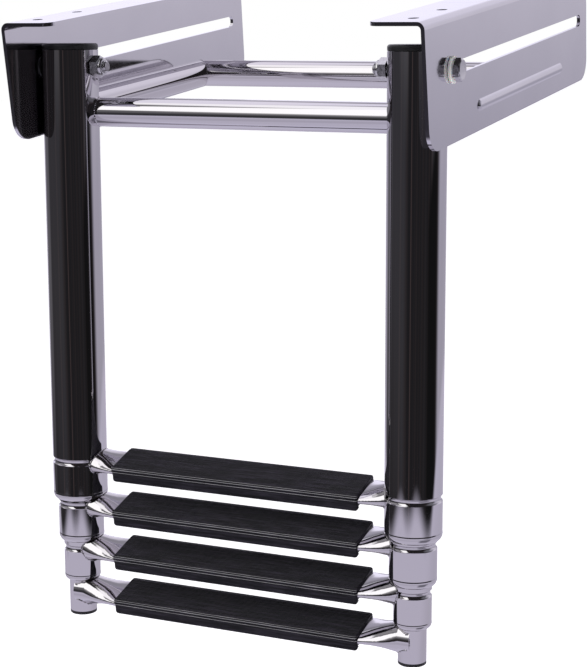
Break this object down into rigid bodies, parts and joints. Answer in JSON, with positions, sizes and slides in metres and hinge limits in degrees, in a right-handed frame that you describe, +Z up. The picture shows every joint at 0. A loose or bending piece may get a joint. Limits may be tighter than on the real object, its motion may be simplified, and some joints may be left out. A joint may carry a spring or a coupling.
{
  "type": "boat boarding ladder",
  "caption": "Telescoping boarding ladder that slides and folds under a swim platform on two slotted rails, with a U-shaped stand-off frame and treads.",
  "frame": {"origin": "centre of the platform bolt-hole pattern, on the plane of the two rails' top faces", "axes": "+X across the ladder to the climber's right as they face the boat, +Y inboard under the platform, +Z up out of the rails' top faces"},
  "size_m": [0.313, 0.3599, 0.4213],
  "materials": {
    "rail_stainless": "polished stainless sheet",
    "tube_stainless": "mirror-polished stainless tube",
    "fastener_stainless": "bright stainless",
    "tread_plastic": "satin black moulded plastic with fine ribs",
    "cap_plastic": "satin black moulded plastic",
    "white_nylon": "smooth white nylon",
    "insert_nylon": "nylon locking ring"
  },
  "bodies": {
    "rails": {"left_rail": "rail_stainless", "right_rail": "rail_stainless"},
    "carriage": {"left_inner_spacer": "cap_plastic", "left_lock_nut": "fastener_stainless", "left_nut_insert": "insert_nylon", "left_outer_washer": "white_nylon", "left_pivot_bolt": "fastener_stainless", "right_inner_spacer": "cap_plastic", "right_lock_nut": "fastener_stainless", "right_nut_insert": "insert_nylon", "right_outer_washer": "white_nylon", "right_pivot_bolt": "fastener_stainless"},
    "main_frame": {"front_crossbar": "tube_stainless", "left_guide_bushing_1": "white_nylon", "left_standoff_arm": "tube_stainless", "left_top_cap": "cap_plastic", "left_tube_1": "tube_stainless", "right_guide_bushing_1": "white_nylon", "right_standoff_arm": "tube_stainless", "right_top_cap": "cap_plastic", "right_tube_1": "tube_stainless", "standoff_back_bar": "tube_stainless", "step_bar_1": "tube_stainless", "tread_1": "tread_plastic", "tread_screws_1": "fastener_stainless"},
    "stage_2": {"left_guide_bushing_2": "white_nylon", "left_stop_ring_2": "white_nylon", "left_tube_2": "tube_stainless", "right_guide_bushing_2": "white_nylon", "right_stop_ring_2": "white_nylon", "right_tube_2": "tube_stainless", "step_bar_2": "tube_stainless", "tread_2": "tread_plastic", "tread_screws_2": "fastener_stainless"},
    "stage_3": {"left_guide_bushing_3": "white_nylon", "left_stop_ring_3": "white_nylon", "left_tube_3": "tube_stainless", "right_guide_bushing_3": "white_nylon", "right_stop_ring_3": "white_nylon", "right_tube_3": "tube_stainless", "step_bar_3": "tube_stainless", "tread_3": "tread_plastic", "tread_screws_3": "fastener_stainless"},
    "stage_4": {"left_foot_cap": "cap_plastic", "left_stop_ring_4": "white_nylon", "left_tube_4": "tube_stainless", "right_foot_cap": "cap_plastic", "right_stop_ring_4": "white_nylon", "right_tube_4": "tube_stainless", "step_bar_4": "tube_stainless", "tread_4": "tread_plastic", "tread_screws_4": "fastener_stainless"}
  },
  "joints": [
    {"name": "carriage_slide", "type": "slide", "parent": "rails", "child": "carriage", "axis": [0, 1, 0], "range_m": [0, 0.284]},
    {"name": "ladder_swing", "type": "hinge", "parent": "carriage", "child": "main_frame", "pos_m": [0, -0.13, -0.0341], "axis": [1, 0, 0], "range_deg": [-84, 14.5]},
    {"name": "stage_2_slide", "type": "slide", "parent": "main_frame", "child": "stage_2", "axis": [0, -0.1045, -0.9945], "range_m": [0, 0.253]},
    {"name": "stage_3_slide", "type": "slide", "parent": "stage_2", "child": "stage_3", "axis": [0, -0.1045, -0.9945], "range_m": [0, 0.253]},
    {"name": "stage_4_slide", "type": "slide", "parent": "stage_3", "child": "stage_4", "axis": [0, -0.1045, -0.9945], "range_m": [0, 0.253]}
  ]
}
